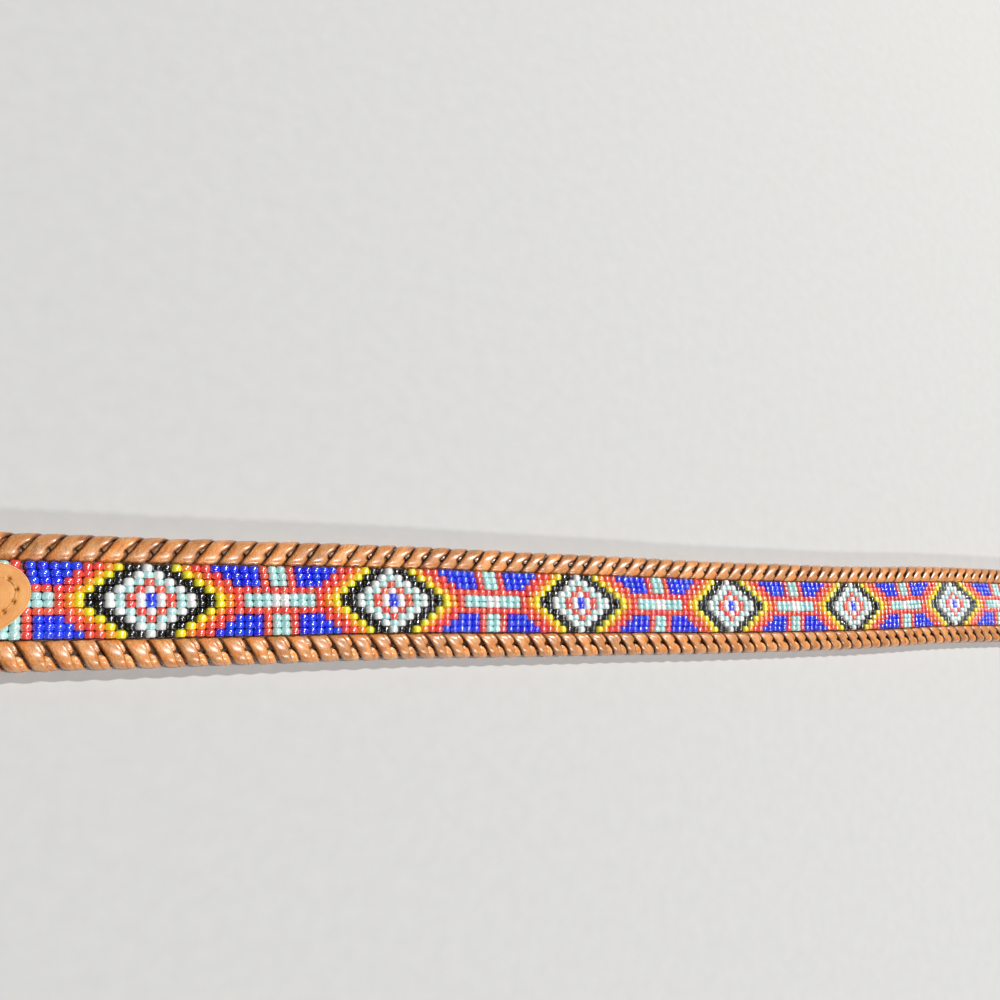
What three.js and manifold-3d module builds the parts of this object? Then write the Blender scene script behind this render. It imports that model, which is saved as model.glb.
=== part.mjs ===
// A beaded belt lying straight and flat on its back, face up.
// Millimetres. +X runs from the buckle to the tip, +Y to the far edge, +Z up. It rests on z = 0.
import * as THREE from 'three';
import { mergeVertices } from 'three/addons/utils/BufferGeometryUtils.js';
import Module from 'manifold-3d';

const wasm = await Module();
wasm.setup();

// Beadwork: columns run across the belt, rows run along it
const COLUMN_PITCH = 2.25;
const ROW_PITCH = 1.68;
const ROWS = 10;
const REPEAT_COLUMNS = 27;
const DIAMONDS = 12;
const END_COLUMNS = 16;
const BAND_THICKNESS = 2.0;
const BAND_CROWN = 0.3;
const BAND_TUCK = 0.3;

// Leather base
const STRAP_HALF_WIDTH = 13.7;
const STRAP_THICKNESS = 2.4;
const STRAP_UNDERSIDE = 1.4;
const EDGE_CHAMFER = 0.4;
const TIP_LENGTH = 157;
const TIP_ROUND = 16;
const TIP_SHOULDER = 2.6;
const TIP_FULLNESS = 0.45;

// Holes in the tip
const HOLE_COUNT = 5;
const HOLE_DIAMETER = 4.2;
const HOLE_SPACING = 20;
const HOLE_FROM_TIP = 30;

// Lacing
const LACE_THICKNESS = 1.1;
const LACE_CREST = 0.5;
const LACE_PITCH = 5.4;
const LACE_LEAN_FAR = 6.4;
const LACE_LEAN_NEAR = 5.2;
const LACE_INNER = 8.75;
const LACE_OVERHANG = 10;

// Tongues of leather over the band's ends
const TAB_COLUMN = 11.05;
const TAB_LENGTH = 42;
const TAB_HALF_WIDTH = 7.6;
const TAB_THICKNESS = 1.8;
const TAB_LEVEL_RUN = 0.5;
const TAB_RUN_DOWN = 9;
const TAB_NOSE = 1.1;
const TAB_TAIL_SHARE = 0.07;
const TAB_TAIL_NARROWING = 0.35;

// Buckle
const BUCKLE_LENGTH = 38;
const BUCKLE_HALF_WIDTH = 20.5;
const BUCKLE_RIM = 4.2;
const BUCKLE_THICKNESS = 3.4;
const BUCKLE_CORNER = 7;
const BUCKLE_BEVEL = 0.7;
const PRONG_RADIUS = 1.6;
const PRONG_RISE = 2.6;
const PRONG_OVERHANG = 0.6;
const SLEEVE_WALL = 0.45;
const FOLD_RISE_SHARE = 0.5;
const FOLD_CLEARANCE = 1;
const FOLD_LENGTH = 34;
const FOLD_LEAF = 1.1;
const FOLD_SHAVE = 0.75;
const SLOT_HALF_WIDTH = 2.6;
const SLOT_LENGTH = 16;

// Clearance between pieces that touch
const GAP = 0.3;

// Fineness of the faceted surfaces
const WELD = 1e-4;
const CUTTER_DEPTH = 20;
const HOLE_SIDES = 20;
const FOLD_STEPS = 8;
const CORNER_STEPS = 5;
const PRONG_SIDES = 10;
const SLEEVE_SIDES = 14;

// How far the belt strays from a straight line: share of the photographed run, offset in mm
const LAY = [
  { share: 0.0, offset: 0.11 },
  { share: 0.2, offset: 0.57 },
  { share: 0.4, offset: -0.04 },
  { share: 0.6, offset: -0.66 },
  { share: 0.8, offset: -0.63 },
  { share: 1.0, offset: 0.66 },
  { share: 1.25, offset: 0.3 },
];
const LAY_RUN = 5 * REPEAT_COLUMNS * COLUMN_PITCH;
const LAY_STEP = 24;

// Round of the tip: shares of its length at which its outline bends
const TIP_SHARES = [0.3, 0.55, 0.75, 0.88, 0.96, 0.995];

// Band's rounded face: share of its half width, drop as a share of the crown
const BAND_SECTION = [
  { share: 1, drop: 3 },
  { share: 0.85, drop: 1 },
  { share: 0.45, drop: 0.2 },
];

// Fold: where the curves' handles lie, as shares of the rise
const FOLD_CURVE = { overStrap: 0.35, overBar: 0.41, underBar: 0.29, underStrap: 0.47 };

// Wound lace, from the outer foot over the top to the inner foot: place across and up as shares of
// its reach and height, dip between turns as shares of its thickness, lean as a share of the edge's
const LACE_SECTION = [
  { across: 0.89, up: 0, dipIn: 0.45, dipDown: 0, lean: 0.5 },
  { across: 1, up: 0.42, dipIn: 0.55, dipDown: 0, lean: 0.5 },
  { across: 0.89, up: 0.81, dipIn: 0.45, dipDown: 0.36, lean: 0.35 },
  { across: 0.47, up: 1, dipIn: 0, dipDown: 0.73, lean: 0 },
  { across: 0, up: 0.83, dipIn: 0, dipDown: 0, lean: -0.5 },
  { across: 0.27, up: 0, dipIn: 0, dipDown: 0, lean: -0.5 },
];

// Tongue: shares of its length at which its outline bends, and how each edge rounds to the nose
const TAB_SHARES = [0.003, 0.015, 0.04, 0.08, 0.13, 0.2, 0.25, 0.3, 0.35, 0.4, 0.47, 0.6, 0.8, 0.93, 0.98, 1];
const TAB_FAR = { side: 1, reach: 0.2, power: 1.9 };
const TAB_NEAR = { side: -1, reach: 0.17, power: 1.3 };

// Prong: share of its reach, share of its radius
const PRONG_SECTION = [
  { along: 0, radius: 0 },
  { along: 0, radius: 0.9 },
  { along: 0.11, radius: 1 },
  { along: 0.92, radius: 0.8 },
  { along: 0.98, radius: 0.6 },
  { along: 1, radius: 0 },
];

// Looks
const BROWN_LEATHER = { color: '#8a5a36', roughness: 0.6, metalness: 0 };
const TAN_LACE = { color: '#b9784a', roughness: 0.5, metalness: 0 };
const PALE_LEATHER = { color: '#dba468', roughness: 0.6, metalness: 0 };
const BLUE_GLASS = { color: '#2f49c8', roughness: 0.3, metalness: 0 };
const METAL = { color: '#b8b4a8', roughness: 0.3, metalness: 1 };

// Places along the belt, measured from the first diamond's middle
const LAST_DIAMOND = (DIAMONDS - 1) * REPEAT_COLUMNS * COLUMN_PITCH;
const BAND_START = -(END_COLUMNS + 0.5) * COLUMN_PITCH;
const BAND_END = LAST_DIAMOND - BAND_START;
const TAB_TIP = -TAB_COLUMN * COLUMN_PITCH;
const LACE_START = BAND_START - LACE_OVERHANG;
const LACE_END = BAND_END + LACE_OVERHANG;
const BAR_X = Math.min(
  TAB_TIP - TAB_LENGTH - FOLD_CLEARANCE - FOLD_LENGTH * FOLD_RISE_SHARE,
  LACE_START - LACE_LEAN_FAR / 2 - FOLD_CLEARANCE - FOLD_LENGTH,
);
const TIP_X = BAND_END + TIP_LENGTH;

// Heights
const STRAP_TOP = STRAP_UNDERSIDE + STRAP_THICKNESS;
const BAND_BOTTOM = STRAP_TOP + GAP;
const BAND_TOP = BAND_BOTTOM + BAND_THICKNESS;
const BAR_RADIUS = BUCKLE_THICKNESS / 2;
const LOOP = BUCKLE_RIM / 2 + 2 * GAP;
const BAR_Z = FOLD_LEAF + LOOP;
const BAND_HALF_WIDTH = ROWS * ROW_PITCH / 2;
const LACE_OUTER = STRAP_HALF_WIDTH + GAP + LACE_THICKNESS;
const LACE_TOP = BAND_BOTTOM + LACE_THICKNESS + LACE_CREST;

// Sideways offset of the belt's middle line: smooth between the named places, in short straight steps
function lay(x) {
  const step = Math.floor(x / LAY_STEP);
  const along = x / LAY_STEP - step;
  return THREE.MathUtils.lerp(layAt(step * LAY_STEP), layAt((step + 1) * LAY_STEP), along);
}

function layAt(x) {
  const share = x / LAY_RUN;
  if (share <= LAY[0].share) return LAY[0].offset;
  for (let i = 1; i < LAY.length; i += 1) {
    const [a, b] = [LAY[i - 1], LAY[i]];
    if (share < b.share) {
      return a.offset + (b.offset - a.offset) * THREE.MathUtils.smoothstep(share, a.share, b.share);
    }
  }
  return LAY[LAY.length - 1].offset;
}

// A closed body from rings of points, one ring a station, ends closed by fans
function loft(rings) {
  const count = rings[0].length;
  const position = rings.flat().flatMap(([x, y, z]) => [x, y + lay(x), z]);
  const index = [];
  for (let s = 0; s + 1 < rings.length; s += 1) {
    for (let k = 0; k < count; k += 1) {
      const next = (k + 1) % count;
      const [a, b] = [s * count + k, s * count + next];
      index.push(a, b, a + count, b, b + count, a + count);
    }
  }
  const last = (rings.length - 1) * count;
  for (let k = 1; k + 1 < count; k += 1) {
    index.push(0, k + 1, k);
    index.push(last, last + k, last + k + 1);
  }
  const geometry = new THREE.BufferGeometry();
  geometry.setAttribute('position', new THREE.Float32BufferAttribute(position, 3));
  geometry.setIndex(index);
  return geometry;
}

// Closed body of a three.js geometry, for joining and cutting
function solid(geometry) {
  const bare = geometry.clone();
  bare.deleteAttribute('normal');
  bare.deleteAttribute('uv');
  const merged = mergeVertices(bare, WELD);
  return new wasm.Manifold(new wasm.Mesh({
    numProp: 3,
    vertProperties: new Float32Array(merged.attributes.position.array),
    triVerts: new Uint32Array(merged.index.array),
  }));
}

function geometryOf(body) {
  const mesh = body.getMesh();
  const geometry = new THREE.BufferGeometry();
  geometry.setAttribute('position', new THREE.Float32BufferAttribute(mesh.vertProperties, 3));
  geometry.setIndex(new THREE.BufferAttribute(mesh.triVerts, 1));
  return geometry;
}

// Places for rings: both ends and every straight step between them
function stations(start, end) {
  const inner = [];
  for (let x = Math.ceil((start + GAP) / LAY_STEP) * LAY_STEP; x < end - GAP; x += LAY_STEP) {
    inner.push(x);
  }
  return [start, ...inner, end];
}

// Ring of a chamfered slab between its near and far edges, counter-clockwise seen from the tip
function slabRing(x, near, far, bottom, top) {
  const [low, high] = [bottom + EDGE_CHAMFER, top - EDGE_CHAMFER];
  return [
    [x, near + EDGE_CHAMFER, bottom], [x, far - EDGE_CHAMFER, bottom], [x, far, low], [x, far, high],
    [x, far - EDGE_CHAMFER, top], [x, near + EDGE_CHAMFER, top], [x, near, high], [x, near, low],
  ];
}

// Half width of the strap, rounding off over the last few millimetres
function strapHalfWidth(x) {
  const into = THREE.MathUtils.clamp((x - TIP_X + TIP_ROUND) / TIP_ROUND, 0, 1);
  return STRAP_HALF_WIDTH * (1 - into ** TIP_SHOULDER) ** TIP_FULLNESS;
}

// The strap's side view where it folds round the bar: a strip with a rising top and a thin return leaf
function foldProfile() {
  const outline = new THREE.Shape();
  const leafEnd = BAR_X + FOLD_LENGTH;
  const bodyEnd = leafEnd + GAP;
  const rise = FOLD_LENGTH * FOLD_RISE_SHARE;
  const riseEnd = BAR_X + rise;
  const upper = BAR_Z + LOOP + STRAP_THICKNESS * FOLD_SHAVE;
  const round = upper / 2;
  const { overStrap, overBar, underBar, underStrap } = FOLD_CURVE;
  outline.moveTo(bodyEnd, STRAP_UNDERSIDE);
  outline.lineTo(bodyEnd, STRAP_TOP);
  outline.lineTo(riseEnd, STRAP_TOP);
  outline.bezierCurveTo(riseEnd - rise * overStrap, STRAP_TOP, BAR_X + rise * overBar, upper, BAR_X, upper);
  outline.absellipse(BAR_X, round, round, round, Math.PI / 2, Math.PI * 1.5, false);
  outline.lineTo(leafEnd, 0);
  outline.lineTo(leafEnd, FOLD_LEAF);
  outline.lineTo(BAR_X + LOOP, FOLD_LEAF);
  outline.lineTo(BAR_X, BAR_Z - LOOP);
  outline.absarc(BAR_X, BAR_Z, LOOP, -Math.PI / 2, Math.PI / 2, true);
  outline.bezierCurveTo(
    BAR_X + rise * underBar, BAR_Z + LOOP,
    riseEnd - rise * underStrap, STRAP_UNDERSIDE,
    riseEnd, STRAP_UNDERSIDE,
  );
  outline.closePath();
  return outline;
}

function makeStrap() {
  const start = BAR_X + FOLD_LENGTH;
  const along = stations(start, TIP_X - TIP_ROUND);
  const tip = TIP_SHARES.map((share) => TIP_X - TIP_ROUND * (1 - share));
  const rings = [...along, ...tip].map((x) => {
    const half = strapHalfWidth(x);
    return slabRing(x, -half, half, STRAP_UNDERSIDE, STRAP_TOP);
  });
  const fold = new THREE.ExtrudeGeometry(foldProfile(), {
    depth: 2 * STRAP_HALF_WIDTH, bevelEnabled: false, curveSegments: FOLD_STEPS,
  });
  fold.rotateX(Math.PI / 2);
  fold.translate(0, STRAP_HALF_WIDTH + lay(start), 0);
  let body = solid(loft(rings)).add(solid(fold));

  // slot that lets the prong through the fold
  const slot = new THREE.BoxGeometry(SLOT_LENGTH, 2 * SLOT_HALF_WIDTH, CUTTER_DEPTH);
  slot.translate(BAR_X, lay(start), BAR_Z);
  body = body.subtract(solid(slot));
  for (let i = 0; i < HOLE_COUNT; i += 1) {
    const hole = new THREE.CylinderGeometry(HOLE_DIAMETER / 2, HOLE_DIAMETER / 2, CUTTER_DEPTH, HOLE_SIDES);
    hole.rotateX(Math.PI / 2);
    const x = TIP_X - HOLE_FROM_TIP - i * HOLE_SPACING;
    hole.translate(x, lay(x), STRAP_TOP);
    body = body.subtract(solid(hole));
  }
  return geometryOf(body);
}

function makeBand() {
  const foot = BAND_HALF_WIDTH - BAND_TUCK;
  const half = BAND_SECTION.map((p) => [BAND_HALF_WIDTH * p.share, BAND_TOP - BAND_CROWN * p.drop]);
  return loft(stations(BAND_START, BAND_END).map((x) => [
    [x, -foot, BAND_BOTTOM],
    [x, foot, BAND_BOTTOM],
    ...half.map(([y, z]) => [x, y, z]),
    ...[...half].reverse().map(([y, z]) => [x, -y, z]),
  ]));
}

// A slab with room round it, to hollow the lacing for the strap
function strapRoom() {
  const half = STRAP_HALF_WIDTH + GAP;
  const rings = stations(LACE_START - LACE_OVERHANG, LACE_END + LACE_OVERHANG).map((x) => (
    slabRing(x, -half, half, STRAP_UNDERSIDE - GAP, STRAP_TOP + GAP)));
  return solid(loft(rings));
}

function makeLacing(side, lean) {
  const reach = LACE_OUTER - LACE_INNER;
  const turns = Math.round((LACE_END - LACE_START) / LACE_PITCH);
  const pitch = (LACE_END - LACE_START) / turns;
  const rings = [];
  for (let i = 0; i <= 2 * turns; i += 1) {
    const dip = i % 2 === 0 ? LACE_THICKNESS : 0;
    const x = LACE_START + i * pitch / 2;
    rings.push(LACE_SECTION.map((p) => [
      x + lean * p.lean,
      side * (LACE_INNER + reach * p.across - dip * p.dipIn),
      LACE_TOP * p.up - dip * p.dipDown,
    ]));
  }
  const ordered = side > 0 ? rings : rings.map((ring) => [...ring].reverse());
  return geometryOf(solid(loft(ordered)).subtract(strapRoom()));
}

// Edge of a tongue: rounded to a nose that leans to the far side, near square at the tail
function tabEdge(share, edge) {
  const tip = THREE.MathUtils.clamp(1 - share / edge.reach, 0, 1);
  const tail = THREE.MathUtils.clamp(1 - (1 - share) / TAB_TAIL_SHARE, 0, 1);
  const half = TAB_HALF_WIDTH * Math.sqrt(1 - tip ** edge.power) * (1 - TAB_TAIL_NARROWING * tail ** 3);
  return TAB_NOSE * THREE.MathUtils.clamp(1 - share / TAB_FAR.reach, 0, 1) + edge.side * half;
}

function makeTab(tipX, direction) {
  const over = BAND_TOP + GAP;
  const bandPast = TAB_TIP - BAND_START;
  const rings = TAB_SHARES.map((share) => {
    const run = share * TAB_LENGTH;
    const fall = THREE.MathUtils.smoothstep(run, bandPast + TAB_LEVEL_RUN, bandPast + TAB_RUN_DOWN);
    const bottom = over + (BAND_BOTTOM - over) * fall;
    const [near, far] = [tabEdge(share, TAB_NEAR), tabEdge(share, TAB_FAR)];
    return slabRing(tipX - direction * run, near, far, bottom, bottom + TAB_THICKNESS);
  });
  return loft(direction > 0 ? rings.reverse() : rings);
}

function makeBuckle() {
  const middle = lay(BAR_X);
  const outline = new THREE.Shape();
  const right = BUCKLE_RIM / 2 - BUCKLE_BEVEL;
  const left = right - BUCKLE_LENGTH + 2 * BUCKLE_BEVEL;
  const half = BUCKLE_HALF_WIDTH - BUCKLE_BEVEL;
  roundedBox(outline, left, right, half, BUCKLE_CORNER, false);
  const window = new THREE.Path();
  const rim = BUCKLE_RIM - 2 * BUCKLE_BEVEL;
  roundedBox(window, left + rim, right - rim, half - rim, BUCKLE_CORNER - rim, true);
  outline.holes.push(window);
  const frame = new THREE.ExtrudeGeometry(outline, {
    depth: BUCKLE_THICKNESS - 2 * BUCKLE_BEVEL, bevelSize: BUCKLE_BEVEL, bevelThickness: BUCKLE_BEVEL,
    bevelSegments: 1, curveSegments: CORNER_STEPS,
  });
  frame.translate(BAR_X, middle, BAR_Z - BAR_RADIUS + BUCKLE_BEVEL);

  // sleeve round the bar, and the prong that reaches from it over the front of the frame
  const sleeveRadius = BUCKLE_RIM / 2 + SLEEVE_WALL;
  const sleeve = new THREE.CylinderGeometry(sleeveRadius, sleeveRadius, 2 * PRONG_RADIUS, SLEEVE_SIDES);
  sleeve.translate(BAR_X, middle, BAR_Z);
  const reach = BUCKLE_LENGTH - BUCKLE_RIM / 2 + PRONG_OVERHANG;
  const prong = new THREE.LatheGeometry(
    PRONG_SECTION.map((p) => new THREE.Vector2(PRONG_RADIUS * p.radius, reach * p.along)),
    PRONG_SIDES,
  );
  prong.rotateZ(Math.PI / 2);
  prong.rotateY(Math.atan2(PRONG_RISE, reach));
  prong.translate(BAR_X, middle, BAR_Z);
  return geometryOf(solid(frame).add(solid(sleeve)).add(solid(prong)));
}

// Rectangle with rounded corners, between two X places and either side of Y = 0
function roundedBox(path, left, right, half, corner, clockwise) {
  const centres = [
    { x: right - corner, y: half - corner, turn: 0 },
    { x: left + corner, y: half - corner, turn: 0.5 },
    { x: left + corner, y: corner - half, turn: 1 },
    { x: right - corner, y: corner - half, turn: 1.5 },
  ];
  const order = clockwise ? [...centres].reverse() : centres;
  order.forEach((c) => {
    const [from, to] = clockwise ? [c.turn + 0.5, c.turn] : [c.turn, c.turn + 0.5];
    path.absarc(c.x, c.y, corner, from * Math.PI, to * Math.PI, clockwise);
  });
  path.closePath();
}

function piece(name, geometry, look) {
  const flat = geometry.index ? geometry.toNonIndexed() : geometry;
  flat.computeVertexNormals();
  const mesh = new THREE.Mesh(flat, new THREE.MeshStandardMaterial(look));
  mesh.name = name;
  return mesh;
}

const belt = new THREE.Group();
belt.name = 'beaded_belt';
belt.add(
  piece('strap', makeStrap(), BROWN_LEATHER),
  piece('bead_band', makeBand(), BLUE_GLASS),
  piece('lacing_far', makeLacing(1, LACE_LEAN_FAR), TAN_LACE),
  piece('lacing_near', makeLacing(-1, LACE_LEAN_NEAR), TAN_LACE),
  piece('buckle_tab', makeTab(TAB_TIP, 1), PALE_LEATHER),
  piece('tip_tab', makeTab(LAST_DIAMOND - TAB_TIP, -1), PALE_LEATHER),
  piece('buckle', makeBuckle(), METAL),
);

// The origin is the middle of the footprint, on the surface it rests on
const box = new THREE.Box3().setFromObject(belt);
const centre = box.getCenter(new THREE.Vector3());
belt.children.forEach((mesh) => mesh.geometry.translate(-centre.x, -centre.y, -box.min.z));

export default belt;
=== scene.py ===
"""A beaded belt lying face up: loomed seed beads, laced edges, stitched tongues, buckle and tip."""
import logging
import math
from dataclasses import dataclass, field
from enum import Enum
from typing import Iterable, Optional, Sequence

import bpy
import numpy as np
from mathutils import Matrix, Vector


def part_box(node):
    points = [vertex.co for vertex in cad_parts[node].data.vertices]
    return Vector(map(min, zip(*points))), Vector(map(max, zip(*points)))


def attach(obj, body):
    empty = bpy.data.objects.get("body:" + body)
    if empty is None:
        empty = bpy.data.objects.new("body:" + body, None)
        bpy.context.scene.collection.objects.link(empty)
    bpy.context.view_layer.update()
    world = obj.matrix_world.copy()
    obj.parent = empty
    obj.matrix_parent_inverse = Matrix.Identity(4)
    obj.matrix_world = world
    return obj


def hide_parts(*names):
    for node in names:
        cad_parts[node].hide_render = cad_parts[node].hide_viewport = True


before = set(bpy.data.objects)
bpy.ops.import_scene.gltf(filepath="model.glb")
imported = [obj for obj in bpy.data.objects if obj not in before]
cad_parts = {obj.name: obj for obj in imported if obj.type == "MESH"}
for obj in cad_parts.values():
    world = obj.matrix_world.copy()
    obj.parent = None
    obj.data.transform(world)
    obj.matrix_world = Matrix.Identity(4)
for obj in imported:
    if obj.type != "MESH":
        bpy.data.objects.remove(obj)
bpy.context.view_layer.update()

LOG = logging.getLogger("beaded_belt")
MM = 0.001
MARKS = "marks"
Rgb = tuple[float, float, float]
WHITE: Rgb = (1.0, 1.0, 1.0)
BLACK: Rgb = (0.0, 0.0, 0.0)


# Laying out


def eased(part: np.ndarray) -> np.ndarray:
    """Eases a share from 0 to 1 at both ends."""
    return part * part * (3 - 2 * part)


@dataclass(frozen=True)
class Loom:
    """The count and spacing of the beadwork, in millimetres."""

    column_pitch: float = 2.25
    row_pitch: float = 1.68
    rows: int = 10
    repeat: int = 27
    diamonds: int = 12
    end_columns: int = 16

    @property
    def last_column(self) -> int:
        """Column of the last bead, counted from the first diamond's middle."""
        return (self.diamonds - 1) * self.repeat + self.end_columns


@dataclass(frozen=True)
class Lie:
    """Where the belt lies: its first diamond and how far it strays from a straight line."""

    loom: Loom
    first_x: float
    first_y: float
    offsets: tuple[float, ...] = (0.11, 0.57, -0.04, -0.66, -0.63, 0.66, 0.3)
    shares: tuple[float, ...] = (0.0, 0.2, 0.4, 0.6, 0.8, 1.0, 1.25)
    share_repeats: int = 5
    step: float = 24.0

    @classmethod
    def from_frame(cls, loom: Loom) -> "Lie":
        """Reads the first diamond's place from the solids.

        Args:
            loom: The beadwork's spacing.

        Returns:
            The lie of the belt in the shared frame.
        """
        band_low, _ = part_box("bead_band")
        tab_low, tab_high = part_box("buckle_tab")
        first_x = band_low[0] / MM + (loom.end_columns + 0.5) * loom.column_pitch
        first_y = (tab_low[1] + tab_high[1]) / 2 / MM - cls.offsets[0]
        return cls(loom, first_x, first_y)

    def _smooth(self, along: np.ndarray) -> np.ndarray:
        """Offset at a distance from the first diamond, smooth between the named places.

        Args:
            along: Distances from the first diamond's middle.

        Returns:
            Offsets across the belt.
        """
        share = along / (self.share_repeats * self.loom.repeat * self.loom.column_pitch)
        spots = np.clip(np.searchsorted(self.shares, share) - 1, 0, len(self.shares) - 2)
        low = np.take(self.shares, spots)
        high = np.take(self.shares, spots + 1)
        part = eased(np.clip((share - low) / (high - low), 0, 1))
        return np.take(self.offsets, spots) * (1 - part) + np.take(self.offsets, spots + 1) * part

    def sideways(self, along: np.ndarray) -> np.ndarray:
        """Offset of the belt's middle line, in the short straight steps of the solids.

        Args:
            along: Distances from the first diamond's middle, in millimetres.

        Returns:
            Offsets across the belt, in millimetres.
        """
        along = np.asarray(along, dtype=float)
        start = np.floor(along / self.step) * self.step
        part = (along - start) / self.step
        return self._smooth(start) * (1 - part) + self._smooth(start + self.step) * part

    def place(self, points: np.ndarray) -> np.ndarray:
        """Moves points from the belt's own millimetres to the shared frame in metres.

        Args:
            points: Array of points along, across and above the belt.

        Returns:
            The same points in the shared frame, in metres.
        """
        placed = np.array(points, dtype=float)
        placed[:, 1] += self.sideways(placed[:, 0]) + self.first_y
        placed[:, 0] += self.first_x
        return placed * MM


# Making meshes


@dataclass
class MeshPile:
    """Points, faces and face coordinates gathered into one joined mesh."""

    points: list[np.ndarray] = field(default_factory=list)
    faces: list[np.ndarray] = field(default_factory=list)
    marks: list[np.ndarray] = field(default_factory=list)
    count: int = 0

    def add(self, points: np.ndarray, faces: np.ndarray, marks: Optional[np.ndarray] = None) -> None:
        """Adds one body.

        Args:
            points: Its points.
            faces: Its four-sided faces, as point numbers.
            marks: Two values a point that its finish reads.
        """
        self.points.append(points)
        self.faces.append(faces + self.count)
        self.marks.append(marks if marks is not None else np.zeros((len(points), 2)))
        self.count += len(points)

    def build(self, name: str, lie: Optional[Lie], smooth: bool = True) -> bpy.types.Object:
        """Makes the Blender object.

        Args:
            name: The piece's name.
            lie: The lie of the belt, if the points are in its own millimetres.
            smooth: Whether its faces are shaded smooth.

        Returns:
            The new object, linked to the scene.
        """
        points = np.concatenate(self.points)
        points = lie.place(points) if lie else points * MM
        faces = np.concatenate(self.faces).astype(np.int32)
        marks = np.concatenate(self.marks)
        mesh = bpy.data.meshes.new(name)
        mesh.vertices.add(len(points))
        mesh.vertices.foreach_set("co", points.astype(np.float32).ravel())
        mesh.loops.add(faces.size)
        mesh.loops.foreach_set("vertex_index", faces.ravel())
        mesh.polygons.add(len(faces))
        mesh.polygons.foreach_set("loop_start", np.arange(0, faces.size, faces.shape[1], dtype=np.int32))
        mesh.polygons.foreach_set("use_smooth", np.full(len(faces), smooth))
        layer = mesh.uv_layers.new(name=MARKS)
        layer.data.foreach_set("uv", marks[faces.ravel()].astype(np.float32).ravel())
        mesh.update(calc_edges=True)
        mesh.validate()
        made = bpy.data.objects.new(name, mesh)
        bpy.context.scene.collection.objects.link(made)
        return made


def grid_faces(rows: int, columns: int, wrap: bool) -> np.ndarray:
    """Faces of a grid of points.

    Args:
        rows: Count of rows of points.
        columns: Points in a row.
        wrap: Whether each row closes on itself.

    Returns:
        Four-sided faces as point numbers.
    """
    last = columns if wrap else columns - 1
    row, column = np.meshgrid(np.arange(rows - 1), np.arange(last), indexing="ij")
    after = (column + 1) % columns
    low, high = row * columns, (row + 1) * columns
    return np.stack([low + column, low + after, high + after, high + column], axis=-1).reshape(-1, 4)


def tube_faces(rings: int, columns: int, flip: bool) -> np.ndarray:
    """Faces of a tube of point rings, closed at both ends.

    Args:
        rings: Count of rings.
        columns: Points in a ring, an even count.
        flip: Whether the faces look the other way.

    Returns:
        Four-sided faces as point numbers.
    """
    end = np.array([(k, k + 1, columns - 2 - k, columns - 1 - k) for k in range(columns // 2 - 1)])
    last = (rings - 1) * columns
    faces = np.concatenate([grid_faces(rings, columns, True), end[:, ::-1], end + last])
    return faces[:, ::-1] if flip else faces


def resample(points: np.ndarray, count: int, steps: int = 12) -> np.ndarray:
    """Spaces points evenly along a smooth line through the given ones.

    Args:
        points: Points to pass through.
        count: How many to give back.
        steps: Short steps between two given points.

    Returns:
        The evenly spaced points.
    """
    padded = np.vstack([2 * points[0] - points[1], points, 2 * points[-1] - points[-2]])
    fine: list[np.ndarray] = []
    for a, b, c, d in zip(padded, padded[1:], padded[2:], padded[3:]):
        for t in np.linspace(0, 1, steps, endpoint=False):
            bend = (2 * a - 5 * b + 4 * c - d) * t**2 + (3 * b - a - 3 * c + d) * t**3
            fine.append(0.5 * (2 * b + (c - a) * t + bend))
    line = np.vstack([fine, points[-1:]])
    run = np.concatenate([[0], np.cumsum(np.linalg.norm(np.diff(line, axis=0), axis=1))])
    wanted = np.linspace(0, run[-1], count)
    return np.column_stack([np.interp(wanted, run, line[:, k]) for k in range(line.shape[1])])


# Mixing finishes


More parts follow.
